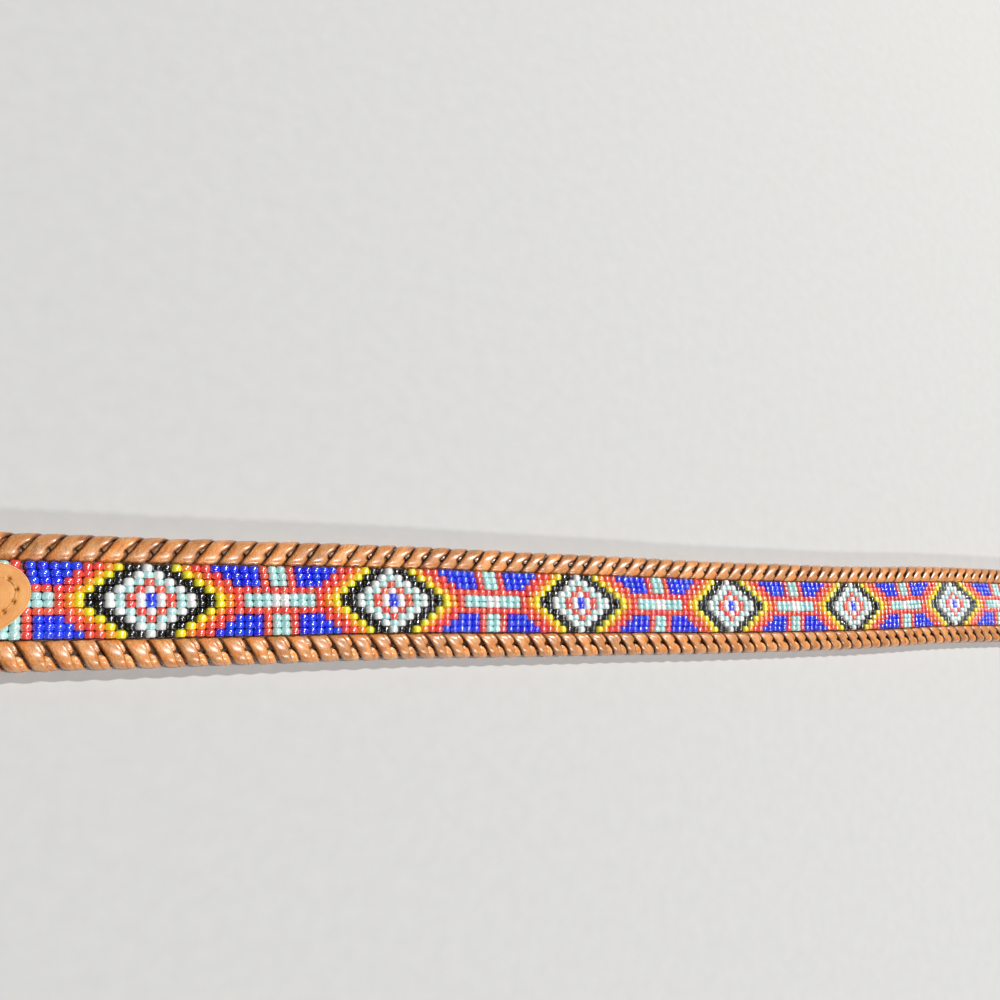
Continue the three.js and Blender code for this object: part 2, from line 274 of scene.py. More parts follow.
class NodeBench:
    """Adds and joins the nodes of one material, group or world."""

    # Numbers of the mix node's share and two colours, and of its mixed colour
    MIX_INPUTS = (0, 6, 7)
    MIX_OUTPUT = 2

    def __init__(self, tree: bpy.types.NodeTree) -> None:
        """Takes the tree that the nodes go into."""
        self.tree = tree

    def feed(self, node: bpy.types.Node, name: str | int, value: object) -> None:
        """Sets an input to a value or joins a socket to it.

        Args:
            node: The node.
            name: The input's name or number.
            value: A number, a vector, a colour in three parts or a socket.
        """
        socket = node.inputs[name]
        if isinstance(value, bpy.types.NodeSocket):
            self.tree.links.new(value, socket)
        else:
            socket.default_value = (*value, 1.0) if socket.type == "RGBA" else value

    def fill(self, node: bpy.types.Node, inputs: dict[str, object]) -> None:
        """Feeds several inputs, by name with _ for a space."""
        for key, value in inputs.items():
            self.feed(node, key.replace("_", " "), value)

    def node(self, kind: str, settings: Optional[dict] = None, **inputs: object) -> bpy.types.Node:
        """Adds a node.

        Args:
            kind: Its type.
            settings: Properties to set on it.
            inputs: Values or sockets for its inputs, by name with _ for a space.

        Returns:
            The new node.
        """
        made = self.tree.nodes.new(kind)
        for key, value in (settings or {}).items():
            setattr(made, key, value)
        self.fill(made, inputs)
        return made

    def maths(self, operation: str, *values: object) -> bpy.types.NodeSocket:
        """Does one step of arithmetic.

        Args:
            operation: Which one.
            values: Numbers or sockets.

        Returns:
            The result.
        """
        made = self.node("ShaderNodeMath", {"operation": operation})
        for spot, value in enumerate(values):
            self.feed(made, spot, value)
        return made.outputs[0]

    def scaled(self, value: object, factor: object, added: object) -> bpy.types.NodeSocket:
        """Multiplies a value and adds to it."""
        return self.maths("MULTIPLY_ADD", value, factor, added)

    def swing(self, chance: object, spread: object, middle: float) -> bpy.types.NodeSocket:
        """Spreads a value from 0 to 1 evenly about a middle."""
        return self.scaled(self.maths("SUBTRACT", chance, 0.5), spread, middle)

    def mix(self, share: object, first: object, second: object, kind: str = "MIX") -> bpy.types.NodeSocket:
        """Mixes two colours.

        Args:
            share: How much of the second.
            first: Colour or socket.
            second: Colour or socket.
            kind: The way they blend.

        Returns:
            The mixed colour.
        """
        made = self.node("ShaderNodeMix", {"data_type": "RGBA", "blend_type": kind})
        for spot, value in zip(self.MIX_INPUTS, (share, first, second)):
            self.feed(made, spot, value)
        return made.outputs[self.MIX_OUTPUT]

    def tint(self, colour: object, towards: Rgb, mask: object, most: float) -> bpy.types.NodeSocket:
        """Mixes a colour towards another where a mask says so."""
        return self.mix(self.maths("MULTIPLY", mask, most), colour, towards)

    def ramp(self, value: object, low: float, high: float) -> bpy.types.NodeSocket:
        """Stretches a value smoothly to the range from 0 to 1.

        Args:
            value: Number or socket.
            low: Where it gives 0.
            high: Where it gives 1.

        Returns:
            The stretched value.
        """
        made = self.node("ShaderNodeMapRange", {"interpolation_type": "SMOOTHSTEP"})
        for spot, given in enumerate((value, low, high)):
            self.feed(made, spot, given)
        return made.outputs[0]

    def place(self) -> bpy.types.NodeSocket:
        """The point on the piece, in metres."""
        return self.node("ShaderNodeTexCoord").outputs["Object"]

    def marks(self) -> bpy.types.NodeSocket:
        """The two values that the mesh carries for its finish."""
        return self.node("ShaderNodeUVMap", {"uv_map": MARKS}).outputs[0]

    def parts(self, vector: object) -> Iterable[bpy.types.NodeSocket]:
        """The three parts of a vector."""
        return self.node("ShaderNodeSeparateXYZ", Vector=vector).outputs

    def noise(self, place: object, scale: float, detail: float = 3.0) -> bpy.types.NodeSocket:
        """Soft blotches from 0 to 1."""
        return self.node("ShaderNodeTexNoise", Vector=place, Scale=scale, Detail=detail).outputs["Fac"]


class Group(Enum):
    """The effects that several finishes share."""

    GRAIN = "leather_grain"
    WEAR = "handling_wear"
    TONE = "bead_tone"


class GroupShelf:
    """Builds each shared effect once."""

    PORE_SCALE = 1700.0
    PORE_RIM = 0.22
    PORE_HEIGHT = 0.45
    PORE_TONE = 0.35
    FOLD_SCALE = 420.0
    FOLD_TONE = 0.8
    FINE_SCALE = 2600.0
    FINE_HEIGHT = 0.3
    WORN_FROM_TO = (0.36, 0.68)
    WORN_ROUGHNESS = 0.62
    HUE_SPREAD = 0.012
    HUE_MIDDLE = 0.5

    def __init__(self) -> None:
        """Makes every group."""
        self.trees = {Group.GRAIN: self._grain(), Group.WEAR: self._wear(), Group.TONE: self._tone()}

    def _start(self, group: Group, inputs: dict[str, str],
               outputs: dict[str, str]) -> tuple[NodeBench, bpy.types.Node, bpy.types.Node]:
        """Opens a group with its named sockets.

        Args:
            group: Which effect.
            inputs: Name and type of each input.
            outputs: Name and type of each output.

        Returns:
            The bench, the node that gives the inputs and the node that takes the outputs.
        """
        tree = bpy.data.node_groups.new(group.value, "ShaderNodeTree")
        for way, sockets in (("INPUT", inputs), ("OUTPUT", outputs)):
            for name, kind in sockets.items():
                tree.interface.new_socket(name=name, in_out=way, socket_type=f"NodeSocket{kind}")
        bench = NodeBench(tree)
        return bench, bench.node("NodeGroupInput"), bench.node("NodeGroupOutput")

    def _grain(self) -> bpy.types.NodeTree:
        """Draws the pores and fine creases of leather.

        Returns:
            The group, which gives a height and a tone.
        """
        bench, given, taken = self._start(Group.GRAIN, {"Scale": "Float", "Crease": "Float"},
                                          {"Height": "Float", "Tone": "Float"})
        spread = bench.node("ShaderNodeVectorMath", {"operation": "SCALE"}, Scale=given.outputs["Scale"])
        bench.feed(spread, 0, bench.place())
        place = spread.outputs[0]
        cells = bench.node("ShaderNodeTexVoronoi", {"feature": "DISTANCE_TO_EDGE"},
                           Vector=place, Scale=self.PORE_SCALE)
        pores = bench.ramp(cells.outputs["Distance"], 0.0, self.PORE_RIM)
        folds = bench.noise(place, self.FOLD_SCALE, detail=6.0)
        fine = bench.noise(place, self.FINE_SCALE, detail=2.0)
        pored = bench.maths("MULTIPLY", pores, self.PORE_HEIGHT)
        height = bench.scaled(folds, given.outputs["Crease"], pored)
        bench.feed(taken, "Height", bench.scaled(fine, self.FINE_HEIGHT, height))
        tone = bench.scaled(pores, self.PORE_TONE, bench.maths("MULTIPLY", folds, self.FOLD_TONE))
        bench.feed(taken, "Tone", tone)
        return bench.tree

    def _wear(self) -> bpy.types.NodeTree:
        """Draws blotches where handling has changed a colour.

        Returns:
            The group, which gives the worn colour and its mask.
        """
        bench, given, taken = self._start(
            Group.WEAR, {"Colour": "Color", "Worn Colour": "Color", "Amount": "Float", "Scale": "Float"},
            {"Colour": "Color", "Mask": "Float"})
        blotches = bench.node("ShaderNodeTexNoise", Vector=bench.place(), Scale=given.outputs["Scale"],
                              Detail=5.0, Roughness=self.WORN_ROUGHNESS)
        worn = bench.ramp(blotches.outputs["Fac"], *self.WORN_FROM_TO)
        mask = bench.maths("MULTIPLY", worn, given.outputs["Amount"])
        bench.feed(taken, "Colour", bench.mix(mask, given.outputs["Colour"], given.outputs["Worn Colour"]))
        bench.feed(taken, "Mask", mask)
        return bench.tree

    def _tone(self) -> bpy.types.NodeTree:
        """Shades one bead a little lighter or darker than its neighbour.

        Returns:
            The group, which gives the bead's colour and its chance value.
        """
        bench, given, taken = self._start(Group.TONE, {"Colour": "Color", "Spread": "Float"},
                                          {"Colour": "Color", "Chance": "Float"})
        chance, second, _ = bench.parts(bench.marks())
        shade = bench.node("ShaderNodeHueSaturation", Color=given.outputs["Colour"],
                           Hue=bench.swing(second, self.HUE_SPREAD, self.HUE_MIDDLE),
                           Value=bench.swing(chance, given.outputs["Spread"], middle=1.0))
        bench.feed(taken, "Colour", shade.outputs[0])
        bench.feed(taken, "Chance", chance)
        return bench.tree


class MaterialBench(NodeBench):
    """The bench of one material, with its shader and the shared effects at hand."""

    def __init__(self, name: str, shelf: GroupShelf) -> None:
        """Starts the material.

        Args:
            name: The material's name.
            shelf: The shared effects.
        """
        self.material = bpy.data.materials.new(name)
        self.material.use_nodes = True
        super().__init__(self.material.node_tree)
        self.shader = self.tree.nodes["Principled BSDF"]
        self.shelf = shelf

    def put(self, group: Group, **inputs: object) -> Iterable[bpy.types.NodeSocket]:
        """Places a shared effect.

        Args:
            group: Which effect.
            inputs: Its inputs, by name with _ for a space.

        Returns:
            Its outputs.
        """
        return self.node("ShaderNodeGroup", {"node_tree": self.shelf.trees[group]}, **inputs).outputs

    def shade(self, **inputs: object) -> None:
        """Feeds inputs of the shader, by name with _ for a space."""
        self.fill(self.shader, inputs)

    def bump(self, height: object, depth: float) -> None:
        """Joins a height to the shader's normal, at a depth in millimetres."""
        raised = self.node("ShaderNodeBump", Strength=1.0, Distance=depth * MM, Height=height)
        self.shade(Normal=raised.outputs[0])


@dataclass(frozen=True)
class BeadGlass:
    """The glass of one colour of bead."""

    name: str
    colour: Rgb
    size: float = 1.0
    roughness: float = 0.2
    spread: float = 0.16
    rough_spread: float = 0.1

    def mix(self, shelf: GroupShelf) -> bpy.types.Material:
        """Mixes the glass.

        Args:
            shelf: The shared effects.

        Returns:
            The material.
        """
        bench = MaterialBench(f"glass_{self.name}", shelf)
        colour, chance = bench.put(Group.TONE, Colour=self.colour, Spread=self.spread)
        streaks = bench.ramp(bench.noise(bench.place(), scale=900.0, detail=2.0), low=0.45, high=0.8)
        bench.shade(
            Base_Color=bench.mix(streaks, colour, WHITE, "SOFT_LIGHT"),
            Roughness=bench.scaled(chance, self.rough_spread, self.roughness - self.rough_spread / 2),
            IOR=1.6, Coat_Weight=1.0, Coat_Roughness=0.2, Coat_IOR=2.1)
        bench.bump(bench.noise(bench.place(), scale=1500.0, detail=1.0), depth=0.01)
        return bench.material


class BeadColour(Enum):
    """The seven colours in the chart, by their letter."""

    W = BeadGlass("pearl_white", (0.86, 0.88, 0.86), size=1.03)
    K = BeadGlass("black", (0.002, 0.002, 0.003), size=0.96, roughness=0.18, spread=0.5)
    Y = BeadGlass("yellow", (0.96, 0.80, 0.015), size=1.05)
    O = BeadGlass("orange", (0.98, 0.29, 0.02))
    R = BeadGlass("coral_red", (0.93, 0.085, 0.055), size=0.99)
    B = BeadGlass("royal_blue", (0.016, 0.046, 0.90), roughness=0.19)
    A = BeadGlass("light_aqua", (0.45, 0.78, 0.76))


@dataclass(frozen=True)
class LaceLeather:
    """Waxed leather lace: tan, worn pale in blotches, paler along each turn's crown as partly wear and
    partly painted highlight, with painted shade at its rims and underside and streaks along it.
    """

    name: str
    colour: Rgb = (0.88, 0.270, 0.034)
    # Worn colour of the blotches, and also the painted highlight along each turn's crown.
    rubbed_and_sheen: Rgb = (0.94, 0.50, 0.20)
    # Painted shade at each turn's rims and underside; it also darkens the grain pores and the dark streaks.
    edge: Rgb = (0.085, 0.017, 0.004)
    spread: float = 0.36
    streak_scales: tuple[float, float, float] = (2.2, 17.0, 420.0)

    def mix(self, shelf: GroupShelf) -> bpy.types.Material:
        """Mixes the leather of the laces.

        Args:
            shelf: The shared effects.

        Returns:
            The material.
        """
        bench = MaterialBench(self.name, shelf)
        colour, _ = bench.put(Group.WEAR, Colour=self.colour, Worn_Colour=self.rubbed_and_sheen,
                              Amount=0.75, Scale=380.0)
        height, tone = bench.put(Group.GRAIN, Scale=0.8, Crease=0.5)
        own, side, _ = bench.parts(bench.marks())
        across = bench.maths("ABSOLUTE", side)
        # Painted highlight, partly wear: paler along the middle of each turn's width.
        colour = bench.tint(colour, self.rubbed_and_sheen, bench.ramp(across, low=0.75, high=0.1), most=0.16)
        # Painted shade: darker towards each turn's rims and fully dark on its underside.
        colour = bench.tint(colour, self.edge, bench.ramp(across, low=0.66, high=0.98), most=0.85)
        colour = bench.tint(colour, self.edge, tone, most=0.35)
        _, outward, _ = bench.parts(bench.place())
        drawn = [bench.maths("MULTIPLY", value, scale)
                 for value, scale in zip((side, own, outward), self.streak_scales)]
        stretched = bench.node("ShaderNodeCombineXYZ", **dict(zip("XYZ", drawn)))
        streaks = bench.noise(stretched.outputs[0], scale=1.0, detail=4.0)
        colour = bench.tint(colour, self.edge, bench.ramp(streaks, low=0.48, high=0.3), most=0.4)
        colour = bench.tint(colour, self.rubbed_and_sheen, bench.ramp(streaks, low=0.56, high=0.74), most=0.5)
        # Each turn's random tone, plus the painted shade and painted highlight of the under-laces.
        tone_and_painted_light = bench.swing(own, self.spread, middle=1.0)
        shaded = bench.node("ShaderNodeHueSaturation", Value=tone_and_painted_light, Color=colour)
        bench.shade(
            Base_Color=shaded.outputs[0], Roughness=bench.scaled(tone, factor=0.25, added=0.32),
            Specular_IOR_Level=0.4, Coat_Weight=0.9, Coat_Roughness=0.27, Coat_IOR=1.65)
        bench.bump(bench.scaled(streaks, factor=2.0, added=height), depth=0.11)
        return bench.material


@dataclass(frozen=True)
class TabLeather:
    """Natural leather with a pale bevelled cut edge and painted shade in its stitch holes."""

    name: str
    colour: Rgb = (0.72, 0.275, 0.045)
    worn: Rgb = (0.86, 0.40, 0.095)
    cut: Rgb = (0.86, 0.68, 0.46)
    # Painted shade in the stitch dents.
    hole: Rgb = (0.045, 0.015, 0.006)
    pore: Rgb = (0.30, 0.11, 0.03)

    def mix(self, shelf: GroupShelf) -> bpy.types.Material:
        """Mixes the leather of the tongues.

        Args:
            shelf: The shared effects.

        Returns:
            The material.
        """
        bench = MaterialBench(self.name, shelf)
        colour, _ = bench.put(Group.WEAR, Colour=self.colour, Worn_Colour=self.worn, Amount=0.8, Scale=210.0)
        height, tone = bench.put(Group.GRAIN, Scale=1.1, Crease=0.6)
        inside, pit, _ = bench.parts(bench.marks())
        ragged = bench.scaled(bench.noise(bench.place(), scale=900.0), factor=0.25, added=inside)
        cut = bench.ramp(ragged, low=0.55, high=0.15)
        # Paints shade into the stitch dents.
        colour = bench.tint(bench.mix(cut, colour, self.cut), self.hole, pit, most=0.8)
        colour = bench.tint(colour, self.pore, tone, most=0.22)
        bench.shade(Base_Color=colour, Roughness=bench.scaled(cut, factor=0.3, added=0.48),
                    Coat_Weight=0.08, Coat_Roughness=0.4)
        bench.bump(height, depth=0.04)
        return bench.material


@dataclass(frozen=True)
class StrapLeather:
    """Firm brown leather with a pressed line near each edge and darker burnished sides."""

    name: str = "strap_leather"
    colour: Rgb = (0.26, 0.105, 0.042)
    worn: Rgb = (0.40, 0.19, 0.085)
    edge: Rgb = (0.075, 0.028, 0.012)
    line_at: float = 11.6
    line_from_to: tuple[float, float] = (0.5, 0.1)
    line_share: float = 0.6

    def mix(self, shelf: GroupShelf) -> bpy.types.Material:
        """Mixes the leather of the strap.

        Args:
            shelf: The shared effects.

        Returns:
            The material.
        """
        bench = MaterialBench(self.name, shelf)
        colour, _ = bench.put(Group.WEAR, Colour=self.colour, Worn_Colour=self.worn, Amount=0.6, Scale=70.0)
        height, tone = bench.put(Group.GRAIN, Scale=0.7, Crease=0.7)
        _, across, _ = bench.parts(bench.place())
        _, _, up = bench.parts(bench.node("ShaderNodeTexCoord").outputs["Normal"])
        side = bench.ramp(bench.maths("ABSOLUTE", up), low=0.75, high=0.35)
        away = bench.maths("SUBTRACT", bench.maths("ABSOLUTE", across), self.line_at * MM)
        groove = bench.ramp(bench.maths("ABSOLUTE", away), *(limit * MM for limit in self.line_from_to))
        dark = bench.maths("MAXIMUM", side, bench.maths("MULTIPLY", groove, self.line_share))
        colour = bench.tint(bench.mix(dark, colour, self.edge), self.edge, tone, most=0.3)
        bench.shade(Base_Color=colour, Roughness=bench.scaled(tone, factor=0.2, added=0.36),
                    Coat_Weight=0.15, Coat_Roughness=0.35)
        bench.bump(bench.scaled(groove, factor=-2.2, added=height), depth=0.14)
        return bench.material


@dataclass(frozen=True)
class Thread:
    """Twisted thread."""

    name: str
    colour: Rgb
    roughness: float = 0.7
    soiled: float = 0.45

    def mix(self, shelf: GroupShelf) -> bpy.types.Material:
        """Mixes the thread.

        Args:
            shelf: The shared effects.

        Returns:
            The material.
        """
        bench = MaterialBench(self.name, shelf)
        dark = tuple(value * self.soiled for value in self.colour)
        colour, worn = bench.put(Group.WEAR, Colour=self.colour, Worn_Colour=dark, Amount=0.7, Scale=900.0)
        twist = bench.node("ShaderNodeTexWave", {"bands_direction": "DIAGONAL"},
                           Vector=bench.place(), Scale=1300.0)
        bench.shade(Base_Color=colour, Roughness=bench.scaled(worn, factor=0.2, added=self.roughness))
        bench.bump(twist.outputs["Fac"], depth=0.08)
        return bench.material


@dataclass(frozen=True)
class BuckleMetal:
    """Plain satin metal with fine brushing and faint worn places."""

    name: str = "buckle_metal"
    colour: Rgb = (0.60, 0.57, 0.52)
    dull: Rgb = (0.30, 0.27, 0.23)
    brushing: tuple[float, float, float] = (900.0, 9000.0, 4000.0)

    def mix(self, shelf: GroupShelf) -> bpy.types.Material:
        """Mixes the metal.

        Args:
            shelf: The shared effects.

        Returns:
            The material.
        """
        bench = MaterialBench(self.name, shelf)
        colour, worn = bench.put(Group.WEAR, Colour=self.colour, Worn_Colour=self.dull,
                                 Amount=0.5, Scale=160.0)
        drawn = bench.node("ShaderNodeMapping", Vector=bench.place(), Scale=self.brushing)
        brushed = bench.noise(drawn.outputs[0], scale=1.0, detail=2.0)
        rough = bench.scaled(worn, factor=0.35, added=bench.scaled(brushed, factor=0.15, added=0.2))
        bench.shade(Base_Color=colour, Roughness=rough, Metallic=1.0)
        bench.bump(brushed, depth=0.02)
        return bench.material


# The belt's pieces


def settle(piece: bpy.types.Object, slot: str, *nodes: str) -> bpy.types.Object:
    """Fixes a piece to the belt.

    Args:
        piece: The finished piece.
        slot: Not used; it names a material slot.
        nodes: The solids that it hides.

    Returns:
        The same piece.
    """
    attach(piece, "root")
    if nodes:
        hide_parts(*nodes)
    LOG.info("%s: %d faces", piece.name, len(piece.data.polygons))
    return piece


# A quarter of the pattern: rows from the far edge, columns from a diamond's middle
CHART = (
    "WKKYORRBBBBBRA",
    "AWKKYORRBBBBRA",
    "RAWKKYORRBBBRA",
    "WRAWKKYORRRRRR",
    "BWRAWKKYORAAAW",
)


def turned(first: np.ndarray, second: np.ndarray, angle: np.ndarray) -> tuple[np.ndarray, np.ndarray]:
    """Turns two coordinates of each body's points by its own angle."""
    cosine, sine = np.cos(angle)[:, None], np.sin(angle)[:, None]
    return first * cosine - second * sine, first * sine + second * cosine


@dataclass
class Beadwork:
    """The loomed band: its beads, one joined mesh a colour, and the threads between its rows."""

    lie: Lie
    shelf: GroupShelf
    radius: float = 1.165
    length: float = 1.72
    level: float = 4.97
    crown: float = 0.3
    around: int = 14
    fullness: float = 2.15
    stray: tuple[float, float, float] = (0.05, 0.03, 0.05)
    size_spread: float = 0.025
    length_spread: float = 0.03
    turn_spread: float = 0.045
    tip_spread: float = 0.04
    thread_drop: float = 0.45
    thread_wave: float = 0.12
    thread_radius: float = 0.09
    # Millimetres that the weave is pulled towards the tip, at columns from the first diamond's middle
    far_pull: tuple[tuple[int, float], ...] = (
        (-12, -0.95), (-11, -0.35), (-10, -0.1), (-9, 0.0), (-6, 0.0), (-3, -0.4), (0, -0.85), (3, -1.1),
        (8, -1.15), (13, -0.8), (27, -0.85), (54, -0.75), (81, -0.5), (108, 0.2), (135, -0.5), (160, 0.0))
    middle_pull: tuple[tuple[int, float], ...] = (
        (-12, 1.15), (-10, 1.15), (-8, 0.95), (-7, 0.5), (-6, 0.35), (-3, 0.1), (0, 0.0))
    near_pull: tuple[tuple[int, float], ...] = (
        (-12, 1.7), (-11, 1.8), (-10, 1.6), (-9, 1.15), (-7, 0.85), (-3, 0.55), (0, 0.15), (8, 0.0),
        (13, 0.3), (27, -0.1), (54, -0.5), (81, -1.2), (108, -0.8), (135, -0.8), (160, 0.0))
    seed: int = 11

    # Half of a bead's outline: shares of its length and of its radius
    SHOULDER = ((0.34, 0.945), (0.49, 0.74), (0.45, 0.42))
    THREAD_COLOUR = (0.045, 0.032, 0.028)

    def pull(self, column: int, off: float) -> float:
        """How far a bead is pulled along the belt from its place on a straight loom.

        Args:
            column: Its column from the first diamond's middle.
            off: Its row, from 1 at the far edge to -1 at the near one.

        Returns:
            The pull towards the tip, in millimetres.
        """
        far = float(np.interp(column, *zip(*self.far_pull)))
        near = float(np.interp(column, *zip(*self.near_pull)))
        middle = float(np.interp(column, *zip(*self.middle_pull)))
        return middle + (far - near) / 2 * off + ((far + near) / 2 - middle) * off * off

    def colour_at(self, column: int, row: int) -> BeadColour:
        """Reads the chart, which mirrors about a diamond's middle and about the belt's.

        Args:
            column: Column from the first diamond's middle.
            row: Row from the far edge, from 0.

        Returns:
            The bead's colour.
        """
        repeat = self.lie.loom.repeat
        place = column % repeat
        mirrored = min(place, repeat - place)
        line = CHART[min(row, self.lie.loom.rows - 1 - row)]
        return BeadColour[line[mirrored]]

    def bead(self) -> tuple[np.ndarray, np.ndarray]:
        """One bead round the Y axis: a short tube with full shoulders.

        Returns:
            Its points, for a radius and length of 1, and its faces.
        """
        profile = [(-y, r) for y, r in reversed(self.SHOULDER)] + [(0.0, 1.0), *self.SHOULDER]
        turn = np.arange(self.around) * 2 * math.pi / self.around
        cosine, sine = np.cos(turn), np.sin(turn)
        power = self.fullness
        full = (np.abs(cosine) ** power + np.abs(sine) ** power) ** (-1 / power)
        rings = [np.column_stack([r * full * cosine, np.full(self.around, y), r * full * sine])
                 for y, r in profile]
        return np.concatenate(rings), grid_faces(len(profile), self.around, True)

    def level_at(self, off: float) -> float:
        """Height of the band at a share of the way from its middle line to an edge."""
        return self.level + self.crown * (0.5 - off * off)

    def spots(self) -> dict[BeadColour, list[tuple[float, float, float]]]:
        """Lists where each colour's beads sit.

        Returns:
            Bead centres in the belt's own millimetres, by colour.
        """
        loom = self.lie.loom
        middle = (loom.rows - 1) / 2
        found: dict[BeadColour, list[tuple[float, float, float]]] = {colour: [] for colour in BeadColour}
        for column in range(-loom.end_columns, loom.last_column + 1):
            for row in range(loom.rows):
                off = (middle - row) / middle
                found[self.colour_at(column, row)].append((
                    column * loom.column_pitch + self.pull(column, off),
                    (middle - row) * loom.row_pitch,
                    self.level_at(off),
                ))
        return found

    def build(self) -> list[bpy.types.Object]:
        """Strings every bead and lays the threads.

        Returns:
            The finished pieces.
        """
        shape, faces = self.bead()
        chance = np.random.default_rng(self.seed)
        made: list[bpy.types.Object] = []
        for colour, spots in self.spots().items():
            glass = colour.value
            count = len(spots)
            centres = np.array(spots) + chance.normal(0, 1, (count, 3)) * self.stray
            size = glass.size * chance.normal(1.0, self.size_spread, (count, 1))
            length = size * self.length * chance.normal(1, self.length_spread, (count, 1))
            scale = np.hstack([size * self.radius, length, size * self.radius])
            turn = chance.normal(0, self.turn_spread, count)
            tip = chance.normal(0, self.tip_spread, count)
            x, y, z = np.moveaxis(shape[None] * scale[:, None], -1, 0)
            x, y = turned(x, y, turn)
            y, z = turned(y, z, tip)
            points = np.stack([x, y, z], axis=-1) + centres[:, None]
            marks = np.repeat(chance.random((count, 2)), len(shape), axis=0)
            every = (faces[None] + (np.arange(count) * len(shape))[:, None, None]).reshape(-1, 4)
            pile = MeshPile()
            pile.add(points.reshape(-1, 3), every, marks)
            piece = pile.build(f"beads_{glass.name}", self.lie)
            piece.data.materials.append(glass.mix(self.shelf))
            made.append(settle(piece, "beads", "bead_band"))
        made.append(self.threads())
        return made

    def threads(self) -> bpy.types.Object:
        """Lays the long threads that run between the rows.

        Returns:
            The threads, as one piece.
        """
        loom = self.lie.loom
        along = np.arange(-loom.end_columns - 0.5, loom.last_column + 1) * loom.column_pitch
        radius = self.thread_radius
        ring = [(radius, 0.0), (0.0, radius), (-radius, 0.0), (0.0, -radius)]
        pile = MeshPile()
        for line in range(loom.rows + 1):
            across = (line - loom.rows / 2) * loom.row_pitch
            off = across / (loom.rows / 2 * loom.row_pitch)
            level = self.level_at(off) - self.thread_drop
            wave = self.thread_wave * (-1.0) ** np.arange(len(along))
            points = np.stack([np.column_stack([along, np.full_like(along, across + y), level + wave + z])
                               for y, z in ring], axis=1)
            pile.add(points.reshape(-1, 3), grid_faces(len(along), len(ring), True))
        piece = pile.build("band_threads", self.lie)
        piece.data.materials.append(Thread("band_thread", self.THREAD_COLOUR).mix(self.shelf))
        return settle(piece, "beads")


class Edge(Enum):
    """The belt's two edges, by the side of the middle line."""

    FAR = 1
    NEAR = -1


@dataclass(frozen=True)
class LaceTurn:
    """How one lace passes over the edge.

    It leans along the belt and covers a span of the way round. Its widths ahead and behind are given at
    stations on that way, and its inset is how deep it lies under the broad turns.
    """

    lean: float
    phase: float
    inset: float
    thickness: float
    span: tuple[float, float]
    # Paints the whole turn darker below 0 as painted shade, and lighter above 0 as painted highlight.
    tone: float
    stations: tuple[float, ...]
    back_side: tuple[float, ...]
    front_side: tuple[float, ...]
    tilt: float
    samples: int


